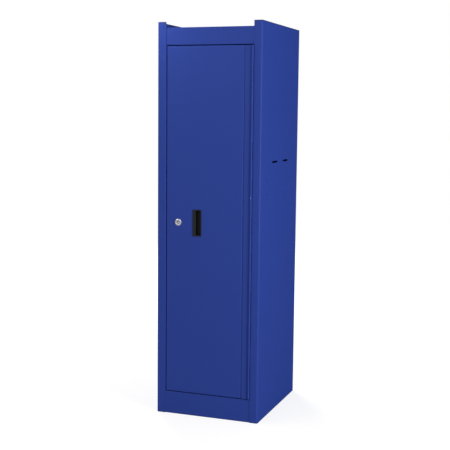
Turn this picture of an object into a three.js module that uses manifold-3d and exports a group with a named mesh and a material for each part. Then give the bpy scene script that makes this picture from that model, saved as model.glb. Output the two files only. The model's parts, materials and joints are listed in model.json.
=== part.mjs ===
// Tall steel side locker for a tool chest: a welded cabinet with a recessed top tray, three shelves on
// slotted standards, and one full height door on a continuous hinge with a round-key cam lock.
// Millimetres. +X is to the right, +Y to the back and +Z up. The origin is at the middle of the base.
import * as THREE from 'three';
import { mergeVertices } from 'three/addons/utils/BufferGeometryUtils.js';
import Module from 'manifold-3d';

// Steel shell
const WIDTH = 436;
const DEPTH = 508;
const HEIGHT = 1584;
const SHEET = 1.2;
const FIT = 0.3; // clearance between two pieces that seat on each other
const CORNER_BEND = 4.8; // inside radius of the two front corners
const BEND = 1.2; // inside radius of every other fold
const REAR_FLANGE = 16;
const WELD_FLANGE = 20; // turned edges of the top, floor and base

// Front frame
const LATCH_POST = 37;
const HINGE_POST = 34;
const TRAY_RECESS = 22; // from the rim down to the top of the header
const HEADER_HEIGHT = 68.5;
const HEADER_FLANGE = 25;
const SILL_HEIGHT = 92;
const SILL_FLANGE = 20;
const RAIL_LAP = 15; // of the header and the sill behind the posts
const STOP_LIP = 14;
const EAR_RADIUS = 6;

// Slots and bolt holes in both side panels
const SLOT_LENGTH = 70;
const SLOT_HEIGHT = 7.5;
const SLOT_SPACING = 145;
const SLOT_FROM_TOP = 548;
const SIDE_BOLT_HOLE = 7;
const SIDE_BOLT_FROM_FRONT = 84;
const SIDE_BOLT_BELOW_SLOT = 71; // upper hole
const SIDE_BOLT_SPACING = 54;

// Bolt holes of the caster pad in the base
const CASTER_HOLE = 10;
const CASTER_SPACING_X = 92;
const CASTER_SPACING_Y = 67;

// Door
const DOOR_THICKNESS = 24;
const DOOR_GAP = 3.5; // at the latch side, the top and the bottom
const DOOR_CORNER = 0.8; // corner radius beyond the fold of the front edge
const DOOR_LIP = 14;
const STIFFENER_CROWN = 30;
const STIFFENER_FLANGE = 12;
const STIFFENER_BACK_GAP = 4.5; // from the crown to the plane of the door's back
const STIFFENER_END_GAP = 12;

// Continuous hinge
const HINGE_BARREL = 7;
const HINGE_LEAF = 1.2;
const HINGE_LEAF_WIDTH = 31.75; // door leaf, from the pin's axis to its edge
const HINGE_GROOVE = 4; // between the leaf's edge and the step in the door skin
const HINGE_EDGE_GAP = 2.7; // between the barrel and the door's edge
const KNUCKLE_LENGTH = 76;
const KNUCKLE_RELIEF = 0.6; // from a leaf's plate to the other leaf's knuckles

// Cam lock
const LOCK_FROM_EDGE = 51.5; // from the door's latch edge, at the door's middle height
const LOCK_BARREL = 19;
const LOCK_RIM = 4.5; // bezel beyond the barrel
const LOCK_PROUD = 4;
const LOCK_CHAMFER = 1.2;
const LOCK_WALL = 3.1; // barrel
const LOCK_NUT_WALL = 4; // to the flats
const LOCK_NUT_THICKNESS = 5;
const PLUG_WALL = 1.2; // round the keyway
const KEYWAY_WIDTH = 1.8;
const KEYWAY_DEPTH = 7;
const PLUG_SINK = 0.6; // plug's face behind the bezel's face
const PLUG_COLLAR = 1.6; // collar beyond the bore
const PLUG_COLLAR_THICKNESS = 1;
const CAM_SQUARE = 8;
const CAM_THICKNESS = 3;
const CAM_WIDTH = 18;
const CAM_OVERLAP = 12; // reach past the edge of the stop lip when locked
const CAM_CLEARANCE = 1.5; // from the back of the stop lip to the cam
const CAM_STUD = 6;
const CAM_NUT_WALL = 2; // to the flats
const CAM_NUT_THICKNESS = 5;

// Recessed pull
const HANDLE_FROM_LOCK = 80.5; // between the middles, at the same height
const HANDLE_WIDTH = 37.4;
const HANDLE_HEIGHT = 107;
const HANDLE_PROUD = 1.8;
const HANDLE_DEPTH = 18; // from the door's face to the back of the cup
const HANDLE_RADIUS = 3;
const HANDLE_EDGE = 0.9; // rounding of the rim's front edge
const HANDLE_FLANGE = 2.4; // overlap of the rim on the door's face
const HANDLE_WALL = 2;
const HANDLE_GRIP = 9; // lip that the fingers pull on
const HANDLE_GRIP_THICKNESS = 3.4;
const BARB = 1.4;
const BARB_LENGTH = 14;
const BARB_SPACING = 60;
const BARB_TAPER = 5;

// Shelves and what carries them
const STANDARD_WIDTH = 24;
const STANDARD_DEPTH = 7;
const STANDARD_END_GAP = 20; // from the floor and from the top panel
const STANDARD_FROM_FRONT = 114;
const STANDARD_FROM_BACK = 100;
const STANDARD_SLOT_WIDTH = 5;
const STANDARD_SLOT_HEIGHT = 14;
const STANDARD_PITCH = 50;
const CLIP_WIDTH = 16;
const CLIP_MARGIN = 3; // plate beyond the slot, above and below
const CLIP_LEDGE = 13;
const CLIP_SHEET = 1.5;
const CLIP_HOOK = 3; // reach of the hook behind the standard's face
const SHELF_FRONT_SETBACK = 62;
const SHELF_BACK_GAP = 4;
const SHELF_SIDE_GAP = 1;
const SHELF_LIP = 25;
const SHELF_HEM = 10;
const SHELVES = ['lower', 'middle', 'upper'];

// Magnets and bumpers on the stop lip
const PAD_THICKNESS = 6.4;
const MAGNET_WIDTH = 10;
const MAGNET_LENGTH = 40;
const MAGNET_FROM_END = 130;
const BUMPER_DIAMETER = 10;
const BUMPER_FROM_END = 60;

// Facets
const ROUND_SIDES = 24; // full turn of the lock, its nuts and the bumpers
const PIN_SIDES = 16; // full turn of the hinge barrel and its pin
const HOLE_SIDES = 12; // full turn of a bolt hole
const CORNER_FACETS = 6; // quarter turn of a rounded corner
const FOLD_FACETS = 4; // quarter turn of a fold

// Places worked out from the sizes above
const halfWidth = WIDTH / 2;
const halfSheet = SHEET / 2;
const fold = BEND + SHEET;
const cornerFold = CORNER_BEND + SHEET;
const barrelRadius = HINGE_BARREL / 2;
const barrelProud = HINGE_BARREL - HINGE_LEAF;
const front = -(DEPTH - barrelProud) / 2;
const back = front + DEPTH;
const shellMiddle = (front + back) / 2;
const headerTop = HEIGHT - TRAY_RECESS;
const headerBottom = headerTop - HEADER_HEIGHT;
const latchEdge = -halfWidth + LATCH_POST;
const hingeEdge = halfWidth - HINGE_POST;
const jambDepth = DOOR_THICKNESS + FIT + PAD_THICKNESS + FIT + SHEET; // to the back of the stop lip
const stopBack = front + jambDepth;
const stopFace = stopBack - SHEET;
const railFace = front + SHEET + FIT;
const latchStop = latchEdge + STOP_LIP;
const hingeStop = hingeEdge - STOP_LIP;
const wallInside = halfWidth - SHEET;
const backPanelFront = back - 2 * SHEET - FIT;
const topUnderHeader = headerTop - SHEET - FIT;
const topUnderside = topUnderHeader - SHEET;
const floorTop = SILL_HEIGHT;
const panelHalfWidth = wallInside - FIT;
const panelBack = backPanelFront - FIT;

const doorBottom = SILL_HEIGHT + DOOR_GAP;
const doorTop = headerBottom - DOOR_GAP;
const doorHeight = doorTop - doorBottom;
const hingeX = hingeEdge - FIT - barrelRadius;
const hingeY = front + HINGE_LEAF - barrelRadius;
const doorLeft = latchEdge + DOOR_GAP;
const doorRight = hingeX - barrelRadius - HINGE_EDGE_GAP;
const doorBack = front + DOOR_THICKNESS;
const doorCorner = fold + DOOR_CORNER;
const doorMiddle = (doorBottom + doorTop) / 2;
const lockX = doorLeft + LOCK_FROM_EDGE;
const handleX = lockX + HANDLE_FROM_LOCK;
const leafStep = hingeX - HINGE_LEAF_WIDTH - HINGE_GROOVE;
const leafSeat = front + HINGE_LEAF + FIT;
const skinInside = front + SHEET;

const PAINT = { color: 0x2c4191, roughness: 0.38, metalness: 0 };
const ZINC = { color: 0xb4b8ba, roughness: 0.42, metalness: 1 };
const CHROME = { color: 0xd4d6d8, roughness: 0.16, metalness: 1 };
const BLACK_PLASTIC = { color: 0x17181a, roughness: 0.5, metalness: 0 };
const RUBBER = { color: 0x1d1d1e, roughness: 0.85, metalness: 0 };
const FERRITE = { color: 0x3a3a3c, roughness: 0.7, metalness: 0 };

const wasm = await Module();
wasm.setup();

// A closed geometry as a solid that can be joined and cut.
function solid(geometry) {
  const bare = geometry.clone();
  bare.deleteAttribute('normal');
  bare.deleteAttribute('uv');
  const merged = mergeVertices(bare, 1e-4);
  const vertProperties = new Float32Array(merged.attributes.position.array);
  const triVerts = new Uint32Array(merged.index.array);
  return new wasm.Manifold(new wasm.Mesh({ numProp: 3, vertProperties, triVerts }));
}

// A solid back as a geometry with flat faces.
function geometryOf(body) {
  const mesh = body.getMesh();
  const geometry = new THREE.BufferGeometry();
  geometry.setAttribute('position', new THREE.BufferAttribute(mesh.vertProperties, 3));
  geometry.setIndex(new THREE.BufferAttribute(mesh.triVerts, 1));
  return geometry;
}

function joined(bodies) {
  return bodies.reduce((sum, body) => sum.add(body));
}

function cutBy(body, cutters) {
  return cutters.reduce((left, cutter) => left.subtract(cutter), body);
}

// A box between two opposite corners.
function block(low, high) {
  const size = high.map((value, axis) => value - low[axis]);
  const middle = high.map((value, axis) => (value + low[axis]) / 2);
  return solid(new THREE.BoxGeometry(...size).translate(...middle));
}

// A shape carried straight up. facets is the number of flats on each arc of its outline.
function extruded(shape, depth, facets) {
  return new THREE.ExtrudeGeometry(shape, { depth, curveSegments: facets / 2, bevelEnabled: false });
}

// A shape drawn in Y and Z, carried along X.
function alongX(shape, x0, x1, facets = CORNER_FACETS) {
  const turn = new THREE.Matrix4().set(0, 0, 1, x0, 1, 0, 0, 0, 0, 1, 0, 0, 0, 0, 0, 1);
  return solid(extruded(shape, x1 - x0, facets).applyMatrix4(turn));
}

// A shape drawn in X and Z, carried along Y.
function alongY(shape, y0, y1, facets = CORNER_FACETS) {
  const turn = new THREE.Matrix4().set(1, 0, 0, 0, 0, 0, -1, y1, 0, 1, 0, 0, 0, 0, 0, 1);
  return solid(extruded(shape, y1 - y0, facets).applyMatrix4(turn));
}

// A shape drawn in X and Y, carried along Z.
function alongZ(shape, z0, z1, facets = CORNER_FACETS) {
  return solid(extruded(shape, z1 - z0, facets).translate(0, 0, z0));
}

function rectangle(u0, v0, u1, v1, radius) {
  const shape = new THREE.Shape();
  shape.absarc(u1 - radius, v0 + radius, radius, -Math.PI / 2, 0);
  shape.absarc(u1 - radius, v1 - radius, radius, 0, Math.PI / 2);
  shape.absarc(u0 + radius, v1 - radius, radius, Math.PI / 2, Math.PI);
  shape.absarc(u0 + radius, v0 + radius, radius, Math.PI, Math.PI * 1.5);
  return shape;
}

// The same from its middle and its half sizes.
function rectangleAbout(u, v, halfU, halfV, radius) {
  return rectangle(u - halfU, v - halfV, u + halfU, v + halfV, radius);
}

function disc(u, v, diameter) {
  return new THREE.Shape().absarc(u, v, diameter / 2, 0, Math.PI * 2);
}

function hexagon(acrossFlats) {
  const reach = acrossFlats / Math.sqrt(3);
  const corners = Array.from({ length: 6 }, (_, side) => {
    const angle = (side * Math.PI) / 3;
    return new THREE.Vector2(reach * Math.cos(angle), reach * Math.sin(angle));
  });
  return new THREE.Shape(corners);
}

// Section of a folded sheet. Each corner of its middle line is [u, v, inside radius], with the usual bend
// where none is given: the line is rounded there, then thickened by half a sheet to each side.
function foldedSection(corners) {
  const line = corners.map(([u, v]) => new THREE.Vector2(u, v));
  const heading = (i) => line[i + 1].clone().sub(line[i]).normalize();
  const leftOf = (d) => new THREE.Vector2(-d.y, d.x);
  const leftSide = [];
  const rightSide = [];
  const put = (point, normal) => {
    leftSide.push(point.clone().addScaledVector(normal, halfSheet));
    rightSide.push(point.clone().addScaledVector(normal, -halfSheet));
  };
  const last = line.length - 1;
  put(line[0], leftOf(heading(0)));
  for (let i = 1; i < last; i += 1) {
    const before = heading(i - 1);
    const after = heading(i);
    const angle = Math.atan2(before.cross(after), before.dot(after));
    const side = Math.sign(angle);
    const radius = (corners[i][2] ?? BEND) + halfSheet;
    const start = line[i].clone().addScaledVector(before, -radius * Math.tan(Math.abs(angle) / 2));
    const centre = start.clone().addScaledVector(leftOf(before), side * radius);
    for (let step = 0; step <= FOLD_FACETS; step += 1) {
      const normal = leftOf(before).rotateAround(new THREE.Vector2(), (angle * step) / FOLD_FACETS);
      put(centre.clone().addScaledVector(normal, -side * radius), normal);
    }
  }
  put(line[last], leftOf(heading(last - 1)));
  return new THREE.Shape([...leftSide, ...rightSide.reverse()]);
}

// A turned piece about Y, from its closed outline of [radius, y], drawn from the front along the bore or
// axis to the back, and forwards again on the outside.
function turned(outline) {
  const points = outline.map(([radius, y]) => new THREE.Vector2(radius, y)).reverse();
  return solid(new THREE.LatheGeometry(points, ROUND_SIDES));
}

// A plate in X and Z with a rounded front edge, from its front face back.
function plateWithRoundFront(shape, faceY, backY, radius) {
  const depth = backY - faceY;
  const geometry = new THREE.ExtrudeGeometry(shape, {
    depth,
    bevelThickness: radius,
    bevelSize: radius,
    bevelOffset: -radius,
    bevelSegments: FOLD_FACETS,
    curveSegments: CORNER_FACETS / 2,
  });
  const farY = faceY + radius + depth;
  const turn = new THREE.Matrix4().set(1, 0, 0, 0, 0, 0, -1, farY, 0, 1, 0, 0, 0, 0, 0, 1);
  const plate = solid(geometry.applyMatrix4(turn));
  const far = WIDTH + HEIGHT;
  return plate.subtract(block([-far, backY, -far], [far, farY + radius + SHEET, far]));
}

function inOrder(a, b) {
  return a < b ? [a, b] : [b, a];
}

const cabinet = new THREE.Group();
const door = new THREE.Group();
const lock = new THREE.Group();

function place(group, name, body, finish, position = [0, 0, 0], turnZ = 0) {
  const mesh = new THREE.Mesh(geometryOf(body), new THREE.MeshStandardMaterial(finish));
  mesh.name = name;
  mesh.position.set(...position);
  mesh.rotation.z = turnZ;
  group.add(mesh);
}

// Side panel: rear flange, wall, front post, return of the door opening and stop lip, in one sheet.
// side is -1 on the left and +1 on the right; edge is the post's inner edge.
function sidePanel(side, edge) {
  const inward = (distance) => edge - side * distance;
  const section = foldedSection([
    [side * (halfWidth - REAR_FLANGE), back - halfSheet],
    [side * (halfWidth - halfSheet), back - halfSheet],
    [side * (halfWidth - halfSheet), front + halfSheet, CORNER_BEND],
    [inward(-halfSheet), front + halfSheet],
    [inward(-halfSheet), stopBack - halfSheet],
    [inward(STOP_LIP), stopBack - halfSheet],
  ]);
  const sheet = alongZ(section, 0, HEIGHT);
  const notch = (z0, z1) => {
    const [low, high] = inOrder(inward(STOP_LIP + SHEET), inward(-fold - SHEET));
    return block([low, front + SHEET, z0], [high, stopBack + SHEET, z1]);
  };
  const wall = inOrder(side * (halfWidth - 2 * SHEET), side * (halfWidth + SHEET));
  const slotZ = HEIGHT - SLOT_FROM_TOP;
  const slots = [-1, 1].map((end) => {
    const y = shellMiddle + (end * SLOT_SPACING) / 2;
    const radius = SLOT_HEIGHT / 2;
    return alongX(rectangleAbout(y, slotZ, SLOT_LENGTH / 2, radius, radius), ...wall);
  });
  const holes = [0, 1].map((row) => {
    const z = slotZ - SIDE_BOLT_BELOW_SLOT - row * SIDE_BOLT_SPACING;
    return alongX(disc(front + SIDE_BOLT_FROM_FRONT, z, SIDE_BOLT_HOLE), ...wall, HOLE_SIDES);
  });
  const ear = new THREE.Shape();
  const earX = inward(-EAR_RADIUS);
  ear.moveTo(earX, HEIGHT + SHEET);
  ear.lineTo(inward(SHEET), HEIGHT + SHEET);
  ear.lineTo(inward(SHEET), HEIGHT - EAR_RADIUS);
  ear.lineTo(edge, HEIGHT - EAR_RADIUS);
  ear.absarc(earX, HEIGHT - EAR_RADIUS, EAR_RADIUS, side > 0 ? Math.PI : 0, Math.PI / 2, side > 0);
  const earCut = alongY(ear, front - SHEET, front + 2 * SHEET);
  return cutBy(sheet, [
    notch(headerBottom, HEIGHT + SHEET),
    notch(-SHEET, SILL_HEIGHT),
    earCut,
    ...slots,
    ...holes,
  ]);
}

// Front rail, as a channel whose face laps behind the posts, with a return and a stop lip round the door
// opening. At both ends the return stops short of the posts' returns, and the lip of the posts' lips.
function frontRail(section, lipLow, lipHigh) {
  const latchEnd = latchEdge - RAIL_LAP;
  const hingeEnd = hingeEdge + RAIL_LAP;
  const lipFront = stopFace - FIT;
  const lipBack = stopBack + FIT;
  const returnFront = railFace + SHEET;
  return cutBy(alongX(section, latchEnd, hingeEnd), [
    block([latchEnd - SHEET, returnFront, lipLow], [latchEdge + FIT, lipBack, lipHigh]),
    block([hingeEdge - FIT, returnFront, lipLow], [hingeEnd + SHEET, lipBack, lipHigh]),
    block([latchEdge, lipFront, lipLow], [latchStop + FIT, lipBack, lipHigh]),
    block([hingeStop - FIT, lipFront, lipLow], [hingeEdge, lipBack, lipHigh]),
  ]);
}

function headerRail() {
  const lipEnd = headerBottom - STOP_LIP;
  const section = foldedSection([
    [railFace + HEADER_FLANGE, headerTop - halfSheet],
    [railFace + halfSheet, headerTop - halfSheet],
    [railFace + halfSheet, headerBottom + halfSheet],
    [stopBack - halfSheet, headerBottom + halfSheet],
    [stopBack - halfSheet, lipEnd],
  ]);
  return frontRail(section, lipEnd - SHEET, headerBottom + SHEET + FIT);
}

function sillRail() {
  const lipEnd = SILL_HEIGHT + STOP_LIP;
  const section = foldedSection([
    [railFace + SILL_FLANGE, halfSheet],
    [railFace + halfSheet, halfSheet],
    [railFace + halfSheet, SILL_HEIGHT - halfSheet],
    [stopBack - halfSheet, SILL_HEIGHT - halfSheet],
    [stopBack - halfSheet, lipEnd],
  ]);
  return frontRail(section, SILL_HEIGHT - SHEET - FIT, lipEnd + SHEET);
}

// Flat panel with its edges turned by a weld flange: down where lift is -1 and up where it is +1. deckZ is
// the deck's own outer face. The front edge is turned too unless openFront is true.
function pan(frontY, deckZ, lift, openFront) {
  const rimZ = deckZ + lift * WELD_FLANGE;
  const low = Math.min(deckZ, rimZ);
  const high = Math.max(deckZ, rimZ);
  const hollowLow = lift > 0 ? deckZ + SHEET : low - SHEET;
  const hollowHigh = lift > 0 ? high + SHEET : deckZ - SHEET;
  const hollowFront = openFront ? frontY - SHEET : frontY + SHEET;
  const inside = panelHalfWidth - SHEET;
  return block([-panelHalfWidth, frontY, low], [panelHalfWidth, panelBack, high])
    .subtract(block([-inside, hollowFront, hollowLow], [inside, panelBack - SHEET, hollowHigh]));
}

function backPanel() {
  const half = halfWidth - fold - FIT; // clear of the rear folds of the side panels
  return block([-half, backPanelFront, 0], [half, backPanelFront + SHEET, HEIGHT]);
}

function basePan() {
  const holes = [-1, 1].flatMap((sideX) => [-1, 1].map((sideY) => {
    const x = (sideX * CASTER_SPACING_X) / 2;
    const y = shellMiddle + (sideY * CASTER_SPACING_Y) / 2;
    return alongZ(disc(x, y, CASTER_HOLE), -SHEET, 2 * SHEET, HOLE_SIDES);
  }));
  return cutBy(pan(railFace + SILL_FLANGE + FIT, 0, 1, false), holes);
}

place(cabinet, 'left_side_panel', sidePanel(-1, latchEdge), PAINT);
place(cabinet, 'right_side_panel', sidePanel(1, hingeEdge), PAINT);
place(cabinet, 'back_panel', backPanel(), PAINT);
place(cabinet, 'header_rail', headerRail(), PAINT);
place(cabinet, 'sill_rail', sillRail(), PAINT);
place(cabinet, 'top_panel', pan(front + cornerFold + FIT, topUnderHeader, -1, true), PAINT);
place(cabinet, 'floor_panel', pan(stopBack + FIT, floorTop, -1, false), PAINT);
place(cabinet, 'base_pan', basePan(), PAINT);

// Shelf standard: a channel with its open side to the wall, its slotted face at x = 0 and its legs
// towards -X.
const standardLow = floorTop + STANDARD_END_GAP;
const standardHigh = topUnderside - STANDARD_END_GAP;
const standardLength = standardHigh - standardLow;
const standardSlots = Math.floor(standardLength / STANDARD_PITCH);
const standardSlotZ = (number) => (number + 1 / 2) * STANDARD_PITCH;

function shelfStandard() {
  const half = STANDARD_WIDTH / 2;
  const section = foldedSection([
    [-STANDARD_DEPTH, half - halfSheet],
    [-halfSheet, half - halfSheet],
    [-halfSheet, -half + halfSheet],
    [-STANDARD_DEPTH, -half + halfSheet],
  ]);
  const halfSlot = STANDARD_SLOT_WIDTH / 2;
  const slots = Array.from({ length: standardSlots }, (_, number) => {
    const z = standardSlotZ(number);
    const halfHeight = STANDARD_SLOT_HEIGHT / 2;
    return block([-2 * SHEET, -halfSlot, z - halfHeight], [SHEET, halfSlot, z + halfHeight]);
  });
  return cutBy(alongZ(section, 0, standardLength), slots);
}

// Shelf clip: a plate on the standard's face, a ledge under the shelf and a hook through one slot.
// Its origin is at the slot's middle, on the standard's face.
const ledgeTop = STANDARD_SLOT_HEIGHT / 2 + CLIP_MARGIN;

function shelfClip() {
  const half = CLIP_WIDTH / 2;
  const hookHalf = STANDARD_SLOT_WIDTH / 2 - FIT;
  const hookTop = STANDARD_SLOT_HEIGHT / 2 - FIT;
  const plate = block([FIT, -half, -ledgeTop], [FIT + CLIP_SHEET, half, ledgeTop]);
  const ledge = block([FIT, -half, ledgeTop - CLIP_SHEET], [FIT + CLIP_LEDGE, half, ledgeTop]);
  const hook = block([-SHEET - CLIP_HOOK, -hookHalf, -hookTop], [FIT + CLIP_SHEET, hookHalf, hookTop]);
  return joined([plate, ledge, hook]);
}

// Shelf: a flat deck with front and rear edges folded down and hemmed back, its top at z = 0.
const standardFace = wallInside - FIT - STANDARD_DEPTH;
const shelfHalfWidth = standardFace - FIT - CLIP_SHEET - SHELF_SIDE_GAP;
const shelfFront = front + SHELF_FRONT_SETBACK;
const shelfBack = backPanelFront - SHELF_BACK_GAP;

function shelf() {
  const low = -SHELF_LIP + halfSheet;
  const section = foldedSection([
    [shelfFront + SHELF_HEM, low],
    [shelfFront + halfSheet, low],
    [shelfFront + halfSheet, -halfSheet],
    [shelfBack - halfSheet, -halfSheet],
    [shelfBack - halfSheet, low],
    [shelfBack - SHELF_HEM, low],
  ]);
  return alongX(section, -shelfHalfWidth, shelfHalfWidth);
}

const corners = ['front', 'rear'].flatMap((row) => ['left', 'right'].map((side) => ({
  name: `${row}_${side}`,
  x: side === 'left' ? -standardFace : standardFace,
  y: row === 'front' ? front + STANDARD_FROM_FRONT : back - STANDARD_FROM_BACK,
  turn: side === 'left' ? 0 : Math.PI,
})));

for (const corner of corners) {
  const position = [corner.x, corner.y, standardLow];
  place(cabinet, `shelf_standard_${corner.name}`, shelfStandard(), ZINC, position, corner.turn);
}
// The shelves share out the slots of the standards.
for (const [number, level] of SHELVES.entries()) {
  const slotsBelow = Math.round((standardSlots * (number + 1)) / (SHELVES.length + 1)) - 1;
  const slotZ = standardLow + standardSlotZ(slotsBelow);
  place(cabinet, `shelf_${level}`, shelf(), PAINT, [0, 0, slotZ + ledgeTop + FIT + SHEET]);
  for (const corner of corners) {
    const position = [corner.x, corner.y, slotZ];
    place(cabinet, `shelf_clip_${level}_${corner.name}`, shelfClip(), ZINC, position, corner.turn);
  }
}

// Continuous hinge. A leaf lies along -X from the pin's axis, and its knuckles are every second one. The
// frame leaf fills the return of the door opening, up to the fold of the stop lip.
const knuckleCount = 2 * Math.floor(doorHeight / KNUCKLE_LENGTH / 2) + 1;
const knucklePitch = doorHeight / knuckleCount;
const knuckleBore = HINGE_BARREL - 2 * HINGE_LEAF;
const frameLeafWidth = stopBack - fold - FIT - hingeY;

function hingeLeaf(width, firstKnuckle) {
  const plateEdge = -barrelRadius - KNUCKLE_RELIEF;
  const knuckles = [];
  for (let i = firstKnuckle; i < knuckleCount; i += 2) {
    knuckles.push([i * knucklePitch + FIT / 2, (i + 1) * knucklePitch - FIT / 2]);
  }
  const comb = new THREE.Shape();
  comb.moveTo(-width, doorHeight);
  comb.lineTo(-width, 0);
  comb.lineTo(plateEdge, 0);
  for (const [low, high] of knuckles) {
    comb.lineTo(plateEdge, low + FIT);
    comb.lineTo(-HINGE_LEAF, low + FIT);
    comb.lineTo(-HINGE_LEAF, high - FIT);
    comb.lineTo(plateEdge, high - FIT);
  }
  comb.lineTo(plateEdge, doorHeight);
  const ring = disc(0, 0, HINGE_BARREL);
  ring.holes.push(disc(0, 0, knuckleBore));
  const tubes = knuckles.map(([low, high]) => alongZ(ring, low, high, PIN_SIDES));
  return joined([alongY(comb, barrelRadius - HINGE_LEAF, barrelRadius), ...tubes]);
}

function hingePin() {
  return alongZ(disc(0, 0, knuckleBore - 2 * FIT), 0, doorHeight, PIN_SIDES);
}

const hingeFoot = [hingeX, hingeY, doorBottom];
place(cabinet, 'hinge_frame_leaf', hingeLeaf(frameLeafWidth, 0), PAINT, hingeFoot, -Math.PI / 2);
place(cabinet, 'hinge_pin', hingePin(), ZINC, hingeFoot);
place(door, 'hinge_door_leaf', hingeLeaf(HINGE_LEAF_WIDTH, 1), PAINT, hingeFoot);

// Door skin: a pan with rounded front edges, a lip turned in all round its back, and a strip on the hinge
// side set back by the hinge leaf.
function doorSkin() {
  const outline = (inset, corner) => rectangle(
    doorLeft + inset,
    doorBottom + inset,
    doorRight - inset,
    doorTop - inset,
    corner,
  );
  const lipFront = doorBack - SHEET;
  const outside = plateWithRoundFront(outline(0, doorCorner), front, doorBack, fold);
  const hollow = plateWithRoundFront(outline(SHEET, doorCorner - SHEET), skinInside, lipFront, BEND);
  const mouth = alongY(outline(DOOR_LIP, doorCorner), lipFront - SHEET, doorBack + SHEET);
  const seat = block([leafStep - SHEET, skinInside - halfSheet, doorBottom + halfSheet],
    [doorRight - halfSheet, leafSeat + SHEET, doorTop - halfSheet]);
  const leafPocket = block([leafStep, front - SHEET, doorBottom - SHEET],
    [doorRight + SHEET, leafSeat, doorTop + SHEET]);
  const throughSkin = [front - SHEET, front + 2 * SHEET];
  const lockHole = alongY(disc(lockX, doorMiddle, LOCK_BARREL + 2 * FIT), ...throughSkin, ROUND_SIDES);
  const handleHole = alongY(handleBody(FIT), ...throughSkin);
  return cutBy(cutBy(outside, [hollow, mouth]).add(seat), [leafPocket, lockHole, handleHole]);
}

// Hat channel up the inside of the door, its two flanges on the skin, midway between the pull and the
// hinge leaf.
function doorStiffener() {
  const x = (handleX + HANDLE_WIDTH / 2 + leafStep) / 2;
  const face = skinInside + FIT + halfSheet;
  const crown = doorBack - STIFFENER_BACK_GAP - halfSheet;
  const half = STIFFENER_CROWN / 2;
  const reach = half + STIFFENER_FLANGE;
  const section = foldedSection([
    [x - reach, face],
    [x - half, face],
    [x - half, crown],
    [x + half, crown],
    [x + half, face],
    [x + reach, face],
  ]);
  const inset = DOOR_LIP + STIFFENER_END_GAP;
  return alongZ(section, doorBottom + inset, doorTop - inset);
}

// Outline of the cup where it passes through the door skin, grown by a clearance.
function handleBody(clearance) {
  const halfW = HANDLE_WIDTH / 2 - HANDLE_FLANGE + clearance;
  const halfH = HANDLE_HEIGHT / 2 - HANDLE_FLANGE + clearance;
  return rectangleAbout(handleX, doorMiddle, halfW, halfH, HANDLE_RADIUS);
}

// Recessed pull: a rim on the door's face, a cup behind it, a pocket that runs under the grip lip on the
// latch side, and four barbs that snap behind the skin.
function handleCup() {
  const halfW = HANDLE_WIDTH / 2;
  const halfH = HANDLE_HEIGHT / 2;
  const rimFace = front - HANDLE_PROUD;
  const rimShape = rectangleAbout(handleX, doorMiddle, halfW, halfH, HANDLE_RADIUS);
  const rim = plateWithRoundFront(rimShape, rimFace, front - FIT, HANDLE_EDGE);
  const cup = alongY(handleBody(0), rimFace + HANDLE_EDGE, front + HANDLE_DEPTH);
  const wall = HANDLE_FLANGE + HANDLE_WALL;
  const inside = rectangleAbout(handleX, doorMiddle, halfW - wall, halfH - wall, HANDLE_RADIUS);
  const gripBack = rimFace + HANDLE_GRIP_THICKNESS;
  const pocket = alongY(inside, gripBack, front + HANDLE_DEPTH - HANDLE_WALL);
  const mouthX = handleX + HANDLE_GRIP / 2;
  const mouthHalf = halfW - wall - HANDLE_GRIP / 2;
  const mouth = rectangleAbout(mouthX, doorMiddle, mouthHalf, halfH - wall, HANDLE_RADIUS);
  const opening = alongY(mouth, rimFace - HANDLE_WALL, gripBack + HANDLE_WALL);
  const bodyHalf = halfW - HANDLE_FLANGE;
  const catchY = skinInside + FIT;
  const barbs = [-1, 1].flatMap((side) => [-1, 1].map((end) => {
    const root = handleX + side * (bodyHalf - HANDLE_WALL / 2);
    const tip = handleX + side * (bodyHalf + BARB);
    const wedge = new THREE.Shape([
      new THREE.Vector2(root, catchY),
      new THREE.Vector2(tip, catchY),
      new THREE.Vector2(root, catchY + BARB_TAPER),
    ]);
    const z = doorMiddle + (end * BARB_SPACING) / 2;
    return alongZ(wedge, z - BARB_LENGTH / 2, z + BARB_LENGTH / 2);
  }));
  return cutBy(joined([rim, cup, ...barbs]), [pocket, opening]);
}

place(door, 'door_skin', doorSkin(), PAINT);
place(door, 'door_stiffener', doorStiffener(), PAINT);
place(door, 'handle_cup', handleCup(), BLACK_PLASTIC);

// Cam lock, drawn about its own axis along Y with y = 0 at the door's face.
const lockAt = [lockX, front, doorMiddle];
const lockBore = LOCK_BARREL / 2 - LOCK_WALL;
const plugRadius = lockBore - FIT;
const collarRadius = lockBore + PLUG_COLLAR;
const keywayOuter = plugRadius - PLUG_WALL;
const keywayInner = keywayOuter - KEYWAY_WIDTH;
const camFront = jambDepth + CAM_CLEARANCE;
const collarBack = camFront - FIT;
const collarFront = collarBack - PLUG_COLLAR_THICKNESS;
const lockLength = collarFront - FIT; // from the door's face to the back of the barrel
const camBack = camFront + CAM_THICKNESS;
const camNutFront = camBack + FIT;
const camNutBack = camNutFront + CAM_NUT_THICKNESS;

function lockBody() {
  const face = -LOCK_PROUD;
  const barrel = LOCK_BARREL / 2;
  const rim = barrel + LOCK_RIM;
  return turned([
    [lockBore, face],
    [lockBore, lockLength],
    [barrel, lockLength],
    [barrel, -FIT],
    [rim, -FIT],
    [rim, face + LOCK_CHAMFER],
    [rim - LOCK_CHAMFER, face],
    [lockBore, face],
  ]);
}

function lockNut() {
  const ring = hexagon(LOCK_BARREL + 2 * LOCK_NUT_WALL);
  ring.holes.push(disc(0, 0, LOCK_BARREL + 2 * FIT));
  const seat = SHEET + FIT;
  return alongY(ring, seat, seat + LOCK_NUT_THICKNESS, ROUND_SIDES);
}

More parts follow.
